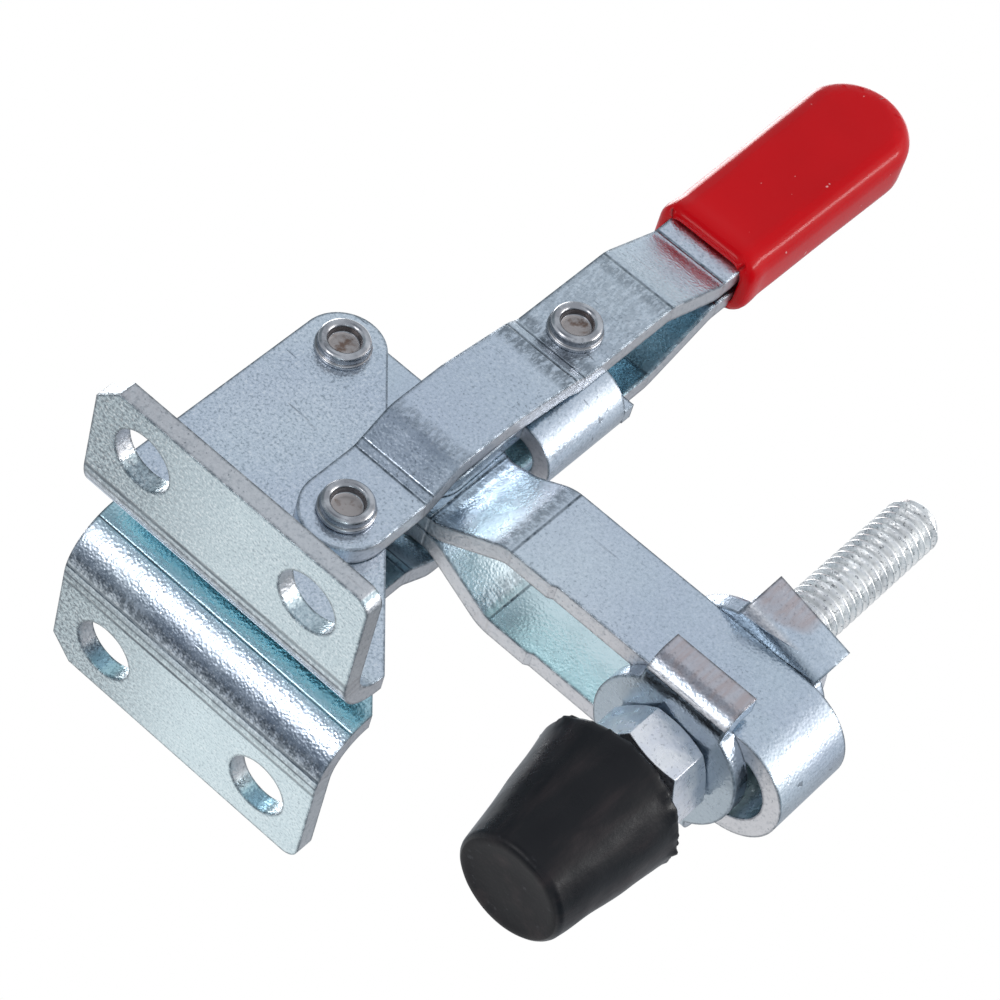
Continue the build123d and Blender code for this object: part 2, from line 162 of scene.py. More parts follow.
class Shader:
    def __init__(self, name):
        self.material = bpy.data.materials.new(name)
        self.material.use_nodes = True
        self.tree = self.material.node_tree
        self.surface = self.tree.nodes["Principled BSDF"]
        self.coords = self.add("ShaderNodeTexCoord")
        self.place = self.axes("Object")
        self.facing = self.axes("Normal")

    def add(self, kind, **values):
        node = self.tree.nodes.new(kind)
        for name, value in values.items():
            setattr(node, name, value)
        return node

    def join(self, source, target):
        self.tree.links.new(source, target)

    def math(self, operation, a, b=None, c=None):
        node = self.add("ShaderNodeMath", operation=operation)
        for socket, value in zip(node.inputs, (a, b, c)):
            if value is None:
                continue
            if isinstance(value, (int, float)):
                socket.default_value = value
            else:
                self.join(value, socket)
        return node.outputs[0]

    def times(self, a, b):
        return self.math("MULTIPLY", a, b)

    def most(self, a, b):
        return self.math("MAXIMUM", a, b)

    def noise(self, scale, detail=3.0, rough=0.55, stretch=None, turn=(0, 0, 0)):
        node = self.add("ShaderNodeTexNoise")
        node.inputs["Scale"].default_value = scale
        node.inputs["Detail"].default_value = detail
        node.inputs["Roughness"].default_value = rough
        if stretch:
            frameMap = self.add("ShaderNodeMapping")
            frameMap.inputs["Scale"].default_value = stretch
            frameMap.inputs["Rotation"].default_value = [radians(a) for a in turn]
            self.join(self.coords.outputs["Object"], frameMap.inputs["Vector"])
            self.join(frameMap.outputs["Vector"], node.inputs["Vector"])
        else:
            self.join(self.coords.outputs["Object"], node.inputs["Vector"])
        return node.outputs["Fac"]

    def pebbles(self, scale):
        node = self.add("ShaderNodeTexVoronoi", feature="SMOOTH_F1")
        node.inputs["Scale"].default_value = scale
        self.join(self.coords.outputs["Object"], node.inputs["Vector"])
        return node.outputs["Distance"]

    def step(self, value, low, high, toLow=0.0, toHigh=1.0):
        if low > high:
            low, high, toLow, toHigh = high, low, toHigh, toLow
        node = self.add("ShaderNodeMapRange", interpolation_type="SMOOTHSTEP")
        self.join(value, node.inputs["Value"])
        node.inputs["From Min"].default_value = low
        node.inputs["From Max"].default_value = high
        node.inputs["To Min"].default_value = toLow
        node.inputs["To Max"].default_value = toHigh
        return node.outputs["Result"]

    # 1 within `half` of `middle` along an axis, falling to 0 over `soft`, all in mm
    def band(self, axis, middle, half, soft):
        gap = self.math("ABSOLUTE", self.math("SUBTRACT", self.place["XYZ".index(axis)], middle * mm))
        return self.step(gap, half * mm, (half + soft) * mm, 1.0, 0.0)

    # goes from 0 to 1 between two places along an axis, in mm
    def rise(self, axis, low, high):
        return self.step(self.place["XYZ".index(axis)], low * mm, high * mm)

    def faces(self, axis, low=0.60, high=0.85):
        return self.step(self.math("ABSOLUTE", self.facing["XYZ".index(axis)]), low, high)

    def blend(self, share, a, b):
        node = self.add("ShaderNodeMix", data_type="RGBA")
        for socket, value in ((node.inputs[0], share), (node.inputs[6], a), (node.inputs[7], b)):
            if isinstance(value, tuple):
                socket.default_value = (*value, 1)
            elif isinstance(value, (int, float)):
                socket.default_value = value
            else:
                self.join(value, socket)
        return node.outputs[2]

    def axes(self, output):
        node = self.add("ShaderNodeSeparateXYZ")
        self.join(self.coords.outputs[output], node.inputs[0])
        return node.outputs

    # surface relief from (pattern, height in mm) pairs
    def relief(self, layers, under=None):
        height = None
        for pattern, depth in layers:
            part = self.times(pattern, depth)
            height = part if height is None else self.math("ADD", height, part)
        node = self.add("ShaderNodeBump")
        node.inputs["Distance"].default_value = mm
        self.join(height, node.inputs["Height"])
        if under:
            self.join(under, node.inputs["Normal"])
        self.join(node.outputs["Normal"], self.surface.inputs["Normal"])

    def roundedEdge(self, radius):
        node = self.add("ShaderNodeBevel", samples=6)
        node.inputs["Radius"].default_value = radius
        return node.outputs["Normal"]

    # 1 where the rounded normal leaves the face's own, so along an edge
    def nearEdge(self, rounded, low=0.06, high=0.02):
        dot = self.add("ShaderNodeVectorMath", operation="DOT_PRODUCT")
        self.join(rounded, dot.inputs[0])
        self.join(self.add("ShaderNodeNewGeometry").outputs["Normal"], dot.inputs[1])
        return self.step(dot.outputs["Value"], 1 - high, 1 - low)

    def finish(self, colour, rough, metallic=0.0):
        self.join(colour, self.surface.inputs["Base Color"])
        self.join(rough, self.surface.inputs["Roughness"])
        self.surface.inputs["Metallic"].default_value = metallic
        return self.material


zinc = dict(
    lavender=(0.600, 0.665, 0.775), pale=(0.71, 0.775, 0.85), mint=(0.63, 0.77, 0.80), slate=(0.30, 0.36, 0.41),
    inside=(0.82, 1.00, 1.00), speck=(0.06, 0.07, 0.09), edge=(0.66, 0.645, 0.66), edgeDark=(0.46, 0.46, 0.48),
    shadeAndMarks=(0.10, 0.125, 0.15), tab=(0.52, 0.45, 0.455), glint=(0.93, 0.96, 0.98), rough=(0.20, 0.33),
    cloudScale=42, mintScale=95, fineScale=2600, grainScale=3300, crowdScale=150, hairScale=820, rareScale=120,
    pebbleScale=3600, waveScale=640, waveDepth=0.024, hairDepth=0.012, shadeMarkScale=1900, lineScale=900,
    strokeScale=1500, tornScale=2100, pitScale=3600, tornDepth=0.05, edgeShadeScale=1300, roughScale=300,
    edgeRough=0.46, flangeFrom=6.0, flangeFull=9.0, tabFrom=8.6, tabFull=9.0,
)


# sheet metal with a bright zinc plate
#   edges: the sheared edges, as (axis they face, axis and distance in mm where they start, or None)
#   mint: how far the tone leans to pale mint, shade: how far to slate
#   flange: the flanges lean to a painted pale mint reflection, and grow dark and specked with painted shade
#       between these two x, in mm
#   dark: how far the flanges lean to a painted slate shade, mottle: strength of the fine dark grain and of the
#       painted glints
#   grain: depth of the pebbled relief in mm, specks: strength of the dark specks
#   inside, insideTone: strength and tint of the painted reflection and shade on the faces turned to the middle,
#       tabs: has washer tabs
#   shadedBands: bands of painted shade with small dark marks, mostly along the bends, as (axis, middle, half
#       width, strength)
#   lines: pressed lines, shallow grooves with painted shade along them, as (axis, place, half width, depth)
def zincPlate(
    name, edges, mint=0.2, shade=0.0, flange=None, grain=0.030, specks=0.35, shadedBands=(), lines=(), inside=0.75,
    insideTone=zinc["inside"], edgeRadius=0.00045, tabs=False, dark=0.0, mottle=0.30,
):
    s = Shader(name)
    fine = s.noise(zinc["fineScale"], 3, 0.7)
    colour = s.blend(s.step(s.noise(zinc["cloudScale"], 3, 0.5), 0.35, 0.65), zinc["lavender"], zinc["pale"])
    minty = s.step(s.noise(zinc["mintScale"], 3, 0.55), 0.30, 0.70)
    colour = s.blend(s.times(minty, mint), colour, zinc["mint"])
    colour = s.blend(s.step(fine, 0.30, 0.70, shade, shade + 0.20), colour, zinc["slate"])
    marks = specks
    if flange:
        outer = s.step(s.math("ABSOLUTE", s.place[1]), zinc["flangeFrom"] * mm, zinc["flangeFull"] * mm)
        # painted shade: the flanges grow darker and more specked towards the rear
        dull = s.times(outer, s.rise("X", *flange))
        # painted reflection: the flanges lean to pale mint
        colour = s.blend(s.times(outer, 0.75), colour, zinc["mint"])
        # painted shade: the flanges lean to slate as far as dark says
        colour = s.blend(s.times(outer, dark), colour, zinc["slate"])
        colour = s.blend(s.times(dull, s.step(fine, 0.34, 0.62, 0.95, 0.25)), colour, zinc["shadeAndMarks"])
        marks = s.math("MULTIPLY_ADD", dull, 0.8, specks)
    grains = s.noise(zinc["grainScale"], 2, 0.75)
    # fine dark grain, and painted glints on the lighter grains
    colour = s.blend(s.step(grains, 0.36, 0.50, mottle, 0.0), colour, zinc["slate"])
    colour = s.blend(s.step(grains, 0.54, 0.66, 0.0, mottle * 0.8), colour, zinc["glint"])

    # painted reflection and shade: the faces turned to the middle, between the parts, get a stronger tint
    inward = s.times(s.facing[1], s.place[1])
    inner = s.times(s.step(inward, -1.2 * mm, -0.4 * mm, 1.0, 0.0), s.faces("Y", 0.80, 0.97))
    colour = s.blend(s.times(inner, inside), colour, insideTone)
    if tabs:
        # painted shade: the undersides of the washers lean to slate
        under = s.step(s.facing[2], -0.9, -0.6, 1.0, 0.0)
        colour = s.blend(s.times(under, 0.80), colour, zinc["slate"])
        out = s.step(s.math("ABSOLUTE", s.place[1]), zinc["tabFrom"] * mm, zinc["tabFull"] * mm)
        tab = s.times(out, s.faces("Y", 0.5, 0.9))
        stroke = s.step(s.noise(zinc["strokeScale"], 3, 0.6, (1, 1, 0.12)), 0.30, 0.70, 0.55, 1.0)
        colour = s.blend(s.times(tab, stroke), colour, zinc["tab"])

    # dark specks, thicker in some places, and a few hairline marks
    dots = s.step(s.noise(zinc["grainScale"], 2, 0.6), 0.335, 0.385, 1.0, 0.0)
    crowd = s.step(s.noise(zinc["crowdScale"], 3, 0.6), 0.42, 0.66, 0.12, 1.0)
    colour = s.blend(s.times(s.times(dots, crowd), marks), colour, zinc["speck"])
    hair = s.step(s.noise(zinc["hairScale"], 2, 0.5, (0.10, 1, 1.6), (20, 35, 62)), 0.690, 0.715)
    rare = s.step(s.noise(zinc["rareScale"], 2, 0.5), 0.54, 0.64)
    colour = s.blend(s.times(s.times(hair, rare), 0.55), colour, zinc["speck"])

    layers = [
        (s.pebbles(zinc["pebbleScale"]), grain), (s.noise(zinc["waveScale"], 3, 0.6), zinc["waveDepth"]),
        (hair, -zinc["hairDepth"]),
    ]
    # painted shade in bands, mostly along the bends, broken up by small dark marks
    for axis, middle, half, strength in shadedBands:
        area = s.band(axis, middle, half * 0.35, half)
        across = [0.35 if axis == way else 1 for way in "XYZ"]
        shadeMarks = s.step(s.noise(zinc["shadeMarkScale"], 4, 0.75, across), 0.44, 0.60, 1.0, 0.15)
        colour = s.blend(s.times(s.times(area, shadeMarks), strength), colour, zinc["shadeAndMarks"])
    # pressed lines: a shallow groove with painted shade along it
    for axis, middle, half, depth in lines:
        line = s.band(axis, middle, half * 0.2, half)
        streak = [0.08 if way == "X" else 1 for way in "XYZ"] if flange else None
        kept = s.step(s.noise(zinc["lineScale"], 3, 0.7, streak), 0.36, 0.56, 1.00, 0.62)
        colour = s.blend(s.times(line, kept), colour, zinc["shadeAndMarks"])
        layers.append((line, -depth))

    edge = None
    for axis, start in edges:
        share = s.faces(axis)
        if start:
            out = s.math("ABSOLUTE", s.place["XYZ".index(start[0])])
            share = s.times(share, s.step(out, (start[1] - 0.1) * mm, start[1] * mm))
        edge = share if edge is None else s.most(edge, share)
    torn = s.blend(s.step(s.noise(zinc["tornScale"], 4, 0.7), 0.30, 0.52), zinc["edgeDark"], zinc["edge"])
    pitted = s.step(s.noise(zinc["pitScale"], 2, 0.6), 0.30, 0.35, 1.0, 0.0)
    torn = s.blend(s.times(pitted, 0.7), torn, zinc["speck"])
    colour = s.blend(s.times(edge, 0.80), colour, torn)
    layers.append((s.times(edge, s.noise(zinc["strokeScale"], 3, 0.6)), zinc["tornDepth"]))

    # painted shade: a dark, specked outline along the rolled edges
    rounded = s.roundedEdge(edgeRadius)
    patchy = s.step(s.noise(zinc["edgeShadeScale"], 4, 0.75), 0.42, 0.62, 0.92, 0.25)
    edgeShade = s.times(s.nearEdge(rounded), patchy)
    colour = s.blend(edgeShade, colour, zinc["shadeAndMarks"])

    rough = s.step(s.noise(zinc["roughScale"], 4, 0.6), 0.35, 0.68, *zinc["rough"])
    rough = s.most(rough, s.times(edge, zinc["edgeRough"]))
    s.relief(layers, rounded)
    return s.finish(colour, rough, 1.0)


rivetLook = dict(
    rim=(0.36, 0.36, 0.38), bright=(0.60, 0.60, 0.62), scoresAndShade=(0.13, 0.13, 0.14), floor=(0.50, 0.455, 0.44),
    stain=(0.24, 0.17, 0.14), sunkRadius=(1.44, 1.52), floorRough=0.5,
    # the rings are painted shade where the roll meets the recess floor and the foot
    rings=((2.64, 0.12, 0.75), (1.60, 0.10, 0.60)),  # dark rings: radius and half width in mm, strength
)


# x and z of its axis in mm: the recess has a dull, stained floor, and the rims are polished
def rivetSteel(name, x, z):
    s = Shader(name)
    across = s.math("SUBTRACT", s.place[0], x * mm)
    up = s.math("SUBTRACT", s.place[2], z * mm)
    radius = s.math("SQRT", s.math("ADD", s.times(across, across), s.times(up, up)))
    tone = s.blend(s.step(s.noise(520, 3, 0.55), 0.38, 0.68), rivetLook["rim"], rivetLook["bright"])
    scored = s.step(s.noise(1300, 3, 0.6, (1, 3, 1)), 0.30, 0.44, 0.45, 0.0)
    tone = s.blend(scored, tone, rivetLook["scoresAndShade"])
    # painted shade: dark rings where the roll meets the recess floor and the foot
    for middle, half, dark in rivetLook["rings"]:
        gap = s.math("ABSOLUTE", s.math("SUBTRACT", radius, middle * mm))
        tone = s.blend(s.times(s.step(gap, 0.0, half * mm, 1.0, 0.0), dark), tone, rivetLook["scoresAndShade"])
    sunkRadius = rivetLook["sunkRadius"]
    sunk = s.step(radius, sunkRadius[0] * mm, sunkRadius[1] * mm, 1.0, 0.0)
    floor = s.blend(s.step(s.noise(800, 3, 0.6), 0.55, 0.72), rivetLook["floor"], rivetLook["stain"])
    tone = s.blend(sunk, tone, floor)
    rough = s.step(s.noise(700, 2, 0.5), 0.35, 0.65, 0.17, 0.28)
    rough = s.most(rough, s.times(sunk, rivetLook["floorRough"]))
    s.relief([(s.noise(900, 2, 0.5), 0.014), (s.times(sunk, s.noise(1600, 2, 0.5)), 0.05)])
    return s.finish(tone, rough, 1.0)


# bushes, nuts and thread: two tones, a range of roughness, the depth of the brushing, and pitting
def turnedSteel(name, light, dark, rough, brush=0.02, grit=0.0):
    s = Shader(name)
    colour = s.blend(s.step(s.noise(420, 4, 0.6), 0.35, 0.68), dark, light)
    dots = s.step(s.noise(3000, 2, 0.6), 0.34, 0.39, 1.0, 0.0)
    colour = s.blend(s.times(dots, 0.30 + grit), colour, zinc["speck"])
    layers = [(s.noise(1100, 3, 0.6, (1, 1, 0.2)), brush), (s.pebbles(2900), 0.02 + 0.05 * grit)]
    s.relief(layers, s.roundedEdge(0.00016))
    return s.finish(colour, s.step(s.noise(900, 3, 0.6), 0.35, 0.65, *rough), 1.0)


vinyl = dict(
    red=(0.62, 0.000, 0.004), deep=(0.52, 0.000, 0.003), dust=(0.95, 0.62, 0.60), rough=(0.16, 0.24),
    specular=0.12, coat=0.06, coatRough=0.05, under=0.06, underRadius=(0.002, 0.0004, 0.0004),
)


def dippedVinyl():
    s = Shader("redVinyl")
    colour = s.blend(s.step(s.noise(48, 3, 0.5), 0.30, 0.72), vinyl["deep"], vinyl["red"])
    pits = s.step(s.noise(1150, 1, 0.4), 0.775, 0.805)
    colour = s.blend(s.times(pits, 0.55), colour, vinyl["dust"])
    s.surface.inputs["Specular IOR Level"].default_value = vinyl["specular"]
    s.surface.inputs["Coat Weight"].default_value = vinyl["coat"]
    s.surface.inputs["Coat Roughness"].default_value = vinyl["coatRough"]
    s.surface.inputs["Subsurface Weight"].default_value = vinyl["under"]
    s.surface.inputs["Subsurface Radius"].default_value = vinyl["underRadius"]
    s.relief([(s.noise(120, 2, 0.5), 0.10), (pits, 0.03)])
    return s.finish(colour, s.step(s.noise(200, 3, 0.6), 0.35, 0.7, *vinyl["rough"]))


rubberLook = dict(
    black=(0.006, 0.006, 0.008), brownSheen=(0.030, 0.021, 0.022), grey=(0.05, 0.05, 0.055), rough=(0.26, 0.42),
    endRough=0.58, specular=0.25,
)


def blackRubber():
    s = Shader("blackRubber")
    streaks = s.noise(300, 4, 0.6, (1, 1, 0.22))
    # painted sheen: brown streaks through the black
    colour = s.blend(s.step(streaks, 0.48, 0.80), rubberLook["black"], rubberLook["brownSheen"])
    scuff = s.times(s.step(s.noise(700, 4, 0.7), 0.60, 0.72), s.rise("Z", 2.0, 0.4))
    colour = s.blend(s.times(scuff, 0.6), colour, rubberLook["grey"])
    dull = s.faces("Z", 0.80, 0.95)
    rough = s.step(s.noise(240, 4, 0.6), 0.35, 0.7, *rubberLook["rough"])
    rough = s.most(rough, s.times(dull, rubberLook["endRough"]))
    s.surface.inputs["Specular IOR Level"].default_value = rubberLook["specular"]
    s.relief([(s.noise(380, 4, 0.6), 0.045), (s.noise(2400, 2, 0.6), 0.012), (streaks, 0.03)])
    return s.finish(colour, rough)


def dress(material, *names):
    for name in names:
        mesh = nodes[name].data
        mesh.materials.clear()
        mesh.materials.append(material)


basePattern = dict(
    mint=0.15, flange=(3.0, -15.0), grain=0.038, specks=0.20, insideTone=(0.46, 0.74, 0.80), edgeRadius=0.00050,
)
baseEdges = (("X", None), ("Y", ("Y", 20.5)))
dress(zincPlate(
    "baseZincRight", baseEdges, **basePattern, dark=0.26, mottle=0.55, shadedBands=(("Y", -7.3, 0.7, 0.6),),
    lines=(("Y", -8.4, 0.34, 0.05), ("Y", -7.4, 0.20, 0.03), ("Y", -6.3, 0.30, 0.05)),
), "base_plate_right")
dress(zincPlate(
    "baseZincLeft", baseEdges, **basePattern, mottle=0.42,
    shadedBands=(("Y", 6.4, 0.9, 0.75), ("Y", 8.3, 0.8, 0.45)),
    lines=(
        ("Y", 9.4, 0.26, 0.04), ("Y", 8.3, 0.16, 0.03), ("Y", 7.2, 0.28, 0.05), ("Z", 3.6, 0.14, 0.04),
    ),
), "base_plate_left")
dress(zincPlate(
    "handleZinc", (("X", None),), mint=0.12, shade=0.04, grain=0.022, specks=0.45, edgeRadius=0.00065,
    insideTone=(0.30, 0.47, 0.53), mottle=0.34,
    shadedBands=(
        ("Z", 51.0, 8.0, 0.30),
        ("Z", 26.6, 0.9, 0.45), ("Z", 42.0, 1.2, 0.70), ("Z", 45.4, 0.9, 0.55), ("Z", 57.0, 0.9, 0.45),
    ),
    lines=(
        ("Z", 21.6, 0.18, 0.03), ("Z", 22.5, 0.14, 0.02), ("Z", 43.0, 0.2, 0.05), ("Z", 44.4, 0.2, 0.05),
        ("Z", 57.9, 0.22, 0.05), ("Z", 67.5, 0.22, 0.06),
    ),
), "handle_plate_left", "handle_plate_right")
dress(zincPlate(
    "armZinc", (("Z", None),), mint=0.26, grain=0.026, specks=0.34, mottle=0.28,
    shadedBands=(("X", 7.6, 1.2, 0.65), ("X", 14.2, 1.0, 0.55)),
    lines=(("X", 6.4, 0.2, 0.03), ("X", 15.4, 0.2, 0.03)),
), "arm")
dress(zincPlate(
    "linkZinc", (("Z", None),), mint=0.25, grain=0.02, specks=0.2, insideTone=(0.50, 0.70, 0.74),
), "link")
dress(zincPlate(
    "washerZinc", (("Z", ("Y", 7.9)),), mint=0.10, grain=0.024, specks=0.30, inside=0.30, tabs=True,
    edgeRadius=0.00050,
), "lower_flanged_washer", "upper_flanged_washer")
print("plates and washers finished")

dress(rivetSteel("linkFootSteel", 2.2, 28.3), "link_foot_rivet")
bushSteel = turnedSteel("bushSteel", (0.66, 0.66, 0.67), (0.42, 0.43, 0.45), (0.25, 0.45))
dress(bushSteel, "handle_pivot_bush", "arm_pivot_bush", "link_head_bush")
nutSteel = turnedSteel("nutSteel", (0.99, 0.98, 0.99), (0.86, 0.87, 0.93), (0.26, 0.40), brush=0.06)
dress(nutSteel, "lower_nut", "upper_nut")
print("bushes and nuts finished")


def finishedPiece(bm, name, body, slotName, material, *replaced):
    bmesh.ops.remove_doubles(bm, verts=bm.verts, dist=0.002 * mm)
    bmesh.ops.recalc_face_normals(bm, faces=bm.faces)
    for face in bm.faces:
        face.smooth = True
    mesh = bpy.data.meshes.new(name)
    bm.to_mesh(mesh)
    bm.free()
    mesh.materials.append(material)
    piece = bpy.data.objects.new(name, mesh)
    bpy.context.scene.collection.objects.link(piece)
    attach(piece, body)
    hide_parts(*replaced)
    return piece


def cutAcross(bm, places, normal):
    for place in places:
        bmesh.ops.bisect_plane(
            bm, geom=bm.verts[:] + bm.edges[:] + bm.faces[:], plane_co=Vector(normal) * place * mm,
            plane_no=normal,
        )


# rivets: a rolled double rim round a shallow recess, and a low dome at the far end

# places: name, node it replaces, body, x and z of its axis, and half the stack that it holds
rivets = dict(
    shank=1.9, head=2.8, steps=72,
    places=(
        ("handlePivotRivet", "handle_pivot_rivet", "base", 2.2, 15.6, 6.4),
        ("armPivotRivet", "arm_pivot_rivet", "base", -11.7, 30.8, 4.2),
        ("linkHeadRivet", "link_head_rivet", "handle", 2.2, 48.2, 6.3),
    ),
    floorHeight=0.34, floorRadius=1.42, roll=0.50, rollMiddle=2.10, rollHeight=1.0, foot=0.46,
    domeEdge=0.5, domeTop=1.5, domeFlat=1.5,
)


def rolledRivet(name, node, body, x, z, reach):
    d = rivets
    bm = bmesh.new()
    outline = [(0.01, d["floorHeight"]), (d["floorRadius"] - 0.25, d["floorHeight"])]
    outline.append((d["floorRadius"], d["floorHeight"] + 0.06))
    outline.append((d["rollMiddle"] - d["roll"], d["floorHeight"] + 0.22))
    for i in range(11):
        a = pi * i / 10
        outline.append((d["rollMiddle"] - d["roll"] * cos(a), d["rollHeight"] + d["roll"] * sin(a)))
    outline += [(2.56, d["foot"] + 0.16), (2.60, d["foot"] + 0.04), (2.70, d["foot"])]
    outline += [(d["head"], d["foot"] - 0.10), (d["head"], 0.08), (d["head"] - 0.06, 0.0), (d["shank"], 0.0)]
    right = [(r, -(reach + h)) for r, h in outline]
    left = [(d["shank"], reach), (d["head"] - 0.06, reach), (d["head"], reach + 0.08)]
    left.append((d["head"], reach + d["domeEdge"]))
    for i in range(1, 7):
        share = i / 6
        radius = d["head"] + (d["domeFlat"] - d["head"]) * share
        left.append((radius, reach + d["domeEdge"] + (d["domeTop"] - d["domeEdge"]) * sin(share * pi / 2)))
    left += [(0.7, reach + d["domeTop"]), (0.01, reach + d["domeTop"])]
    points = [bm.verts.new((r * mm, y * mm, 0)) for r, y in right + left]
    profile = [bm.edges.new(pair) for pair in zip(points, points[1:])]
    bmesh.ops.spin(
        bm, geom=points + profile, axis=(0, 1, 0), cent=(0, 0, 0), angle=2 * pi, steps=d["steps"],
        use_merge=True,
    )
    ends = [v for v in bm.verts if Vector((v.co.x, 0, v.co.z)).length < 0.02 * mm]
    bmesh.ops.remove_doubles(bm, verts=ends, dist=0.03 * mm)
    bmesh.ops.translate(bm, verts=bm.verts, vec=(x * mm, 0, z * mm))
    return finishedPiece(bm, name, body, "rivet_steel", rivetSteel(name + "Steel", x, z), node)


for place in rivets["places"]:
    rolledRivet(*place)
print("rivets done")

# spindle: a cut thread, M6 coarse

spindle = dict(
    x=36.9, crest=2.95, root=2.42, pitch=1.0, crestLand=0.16, rootLand=0.14, bottom=13.0, top=61.5,
    headBottom=4.6, headHeight=4.0, headFlats=10.0, shank=2.9, taper=0.9, steps=48,
)


def threadedSpindle():
    d = spindle
    bm = bmesh.new()
    ramp = (d["pitch"] - d["crestLand"] - d["rootLand"]) / 2
    heights = (0, d["rootLand"], d["rootLand"] + ramp, d["rootLand"] + ramp + d["crestLand"], d["pitch"])
    radii = (d["root"], d["root"], d["crest"], d["crest"], d["root"])
    points = [bm.verts.new((r * mm, 0, z * mm)) for r, z in zip(radii, heights)]
    profile = [bm.edges.new(pair) for pair in zip(points, points[1:])]
    turns = int((d["top"] - d["bottom"]) / d["pitch"]) + 2
    bmesh.ops.spin(
        bm, geom=points + profile, axis=(0, 0, 1), cent=(0, 0, 0), angle=2 * pi * turns,
        steps=d["steps"] * turns, dvec=(0, 0, d["pitch"] * mm / d["steps"]), use_merge=False,
    )
    bmesh.ops.remove_doubles(bm, verts=bm.verts, dist=0.002 * mm)
    bmesh.ops.translate(bm, verts=bm.verts, vec=(0, 0, (d["bottom"] - d["pitch"]) * mm))
    for height, way in ((d["top"], 1), (d["bottom"], -1)):
        cut = bmesh.ops.bisect_plane(
            bm, geom=bm.verts[:] + bm.edges[:] + bm.faces[:], plane_co=(0, 0, height * mm),
            plane_no=(0, 0, way), clear_outer=True,
        )
        rim = [e for e in cut["geom_cut"] if isinstance(e, bmesh.types.BMEdge)]
        bmesh.ops.holes_fill(bm, edges=rim, sides=0)
    # the end is turned down to a short cone
    for vert in bm.verts:
        over = vert.co.z - (d["top"] - d["taper"]) * mm
        radius = vert.co.xy.length
        most = (d["crest"] * mm) - over * 0.8
        if over > 0 and radius > most:
            vert.co.xy *= most / radius
    shaft = bmesh.ops.create_cone(
        bm, cap_ends=True, segments=32, radius1=d["shank"] * mm, radius2=d["shank"] * mm,
        depth=(d["bottom"] - d["headBottom"]) * mm,
    )
    bmesh.ops.translate(bm, verts=shaft["verts"], vec=(0, 0, (d["bottom"] + d["headBottom"]) / 2 * mm))
    head = bmesh.ops.create_cone(
        bm, cap_ends=True, segments=6, radius1=d["headFlats"] / cos(pi / 6) / 2 * mm,
        radius2=d["headFlats"] / cos(pi / 6) / 2 * mm, depth=d["headHeight"] * mm,
    )
    middle = (d["headBottom"] + d["headHeight"] / 2) * mm
    bmesh.ops.translate(bm, verts=head["verts"], vec=(0, 0, middle))
    bmesh.ops.translate(bm, verts=bm.verts, vec=(d["x"] * mm, 0, 0))
    steel = turnedSteel(
        "threadSteel", (0.96, 0.96, 0.95), (0.76, 0.76, 0.76), (0.28, 0.44), brush=0.03, grit=0.30,
    )
    piece = finishedPiece(bm, "threadedSpindle", "spindle", "spindle_steel", steel, "spindle_bolt")
    for face in piece.data.polygons:
        face.use_smooth = False
    return piece


threadedSpindle()
print("spindle done")

# grip: thick dipped vinyl, with a rolled lip

grip = dict(
    x=2.1, bottom=69.9, top=101.0, halfWidth=5.9, domeRadius=6.3, halfThickness=3.95, rim=2.6, lipRound=0.95,
    lipBulge=0.16, lipMiddle=1.5, lipHeight=1.2, spare=4.0, sink=0.10, wave=0.05,
    waveScale=0.16, sinkRise=6, waveRise=4,
    lipCuts=(0.02, 0.08, 0.18, 0.32, 0.50, 0.75),
    closeCuts=(1.05, 0.27, 13), wideCuts=(4.9, 1.2, 21), sideCuts=(-4.8, 0.8, 13),  # first, step and how many
    mouth=((1.02, 0.01), (1.10, 0.12), (1.10, 3.0)),  # how far in and how far up, in turn
)


